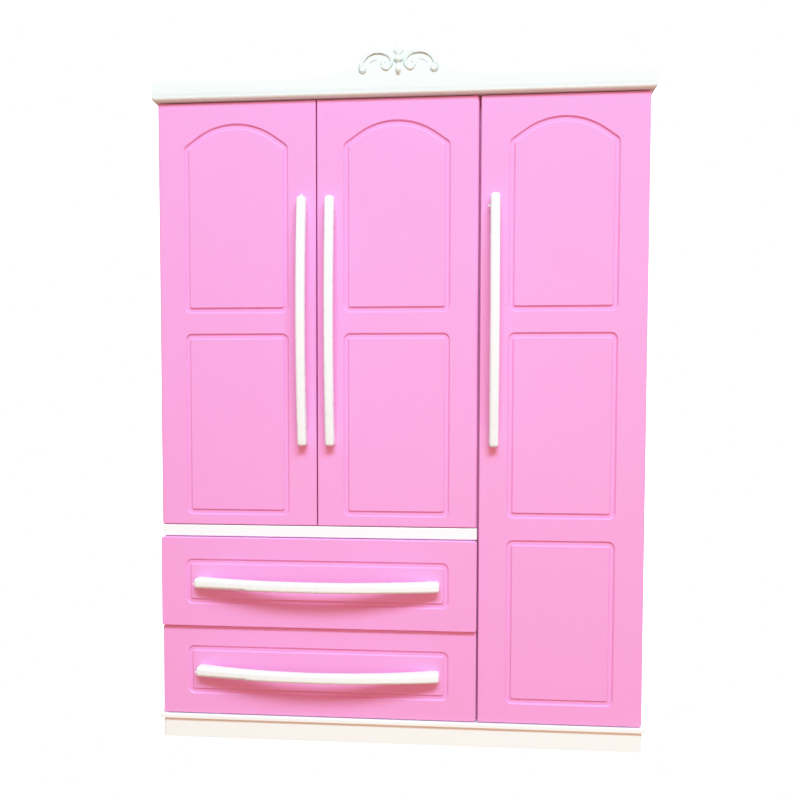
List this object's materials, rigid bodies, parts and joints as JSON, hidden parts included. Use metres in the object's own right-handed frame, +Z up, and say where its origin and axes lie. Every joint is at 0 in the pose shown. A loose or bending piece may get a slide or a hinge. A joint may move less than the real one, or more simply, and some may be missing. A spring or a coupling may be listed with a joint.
{
  "type": "miniature wardrobe",
  "caption": "Dolls' wardrobe of hard plastic: hinged doors with arched panels over and beside drawers, bow handles, moulded cornice with scrolled crest.",
  "frame": {"origin": "bottom centre of the whole object's box, on the floor under the plinth; the handles count in the box", "axes": "+Z up, +Y towards the back, +X to the right as seen from the front, doors facing -Y"},
  "size_m": [0.227, 0.0968, 0.3197],
  "materials": {
    "pink_shell": "satin-gloss injection-moulded plastic",
    "pink_tray": "satin injection-moulded plastic",
    "white_trim": "gloss injection-moulded plastic"
  },
  "bodies": {
    "cabinet": {"base_plinth": "white_trim", "top_panel": "white_trim", "cornice_cap": "white_trim", "side_panel_left": "pink_shell", "side_panel_right": "pink_shell", "back_panel": "pink_shell", "centre_partition": "pink_shell", "middle_shelf": "white_trim", "hanging_rail_left": "white_trim", "hanging_rail_right": "white_trim", "shoe_shelf_upper": "white_trim", "shoe_shelf_lower": "white_trim"},
    "left_door": {"door_left": "pink_shell", "door_handle_left": "white_trim"},
    "middle_door": {"door_middle": "pink_shell", "door_handle_middle": "white_trim"},
    "right_door": {"door_right": "pink_shell", "door_handle_right": "white_trim"},
    "upper_drawer": {"drawer_front_upper": "pink_shell", "drawer_tray_upper": "pink_tray", "drawer_handle_upper": "white_trim"},
    "lower_drawer": {"drawer_front_lower": "pink_shell", "drawer_tray_lower": "pink_tray", "drawer_handle_lower": "white_trim"}
  },
  "joints": [
    {"name": "left_door_hinge", "type": "hinge", "parent": "cabinet", "child": "left_door", "pos_m": [-0.1094, -0.0336, 0.2], "axis": [0, 0, -1], "range_deg": [0, 170]},
    {"name": "middle_door_hinge", "type": "hinge", "parent": "cabinet", "child": "middle_door", "pos_m": [0.03413, -0.0336, 0.2], "axis": [0, 0, 1], "range_deg": [0, 105]},
    {"name": "right_door_hinge", "type": "hinge", "parent": "cabinet", "child": "right_door", "pos_m": [0.1094, -0.0336, 0.15], "axis": [0, 0, 1], "range_deg": [0, 170]},
    {"name": "upper_drawer_slide", "type": "slide", "parent": "cabinet", "child": "upper_drawer", "axis": [0, -1, 0], "range_m": [-0.0018, 0.062]},
    {"name": "lower_drawer_slide", "type": "slide", "parent": "cabinet", "child": "lower_drawer", "axis": [0, -1, 0], "range_m": [0, 0.062]}
  ]
}
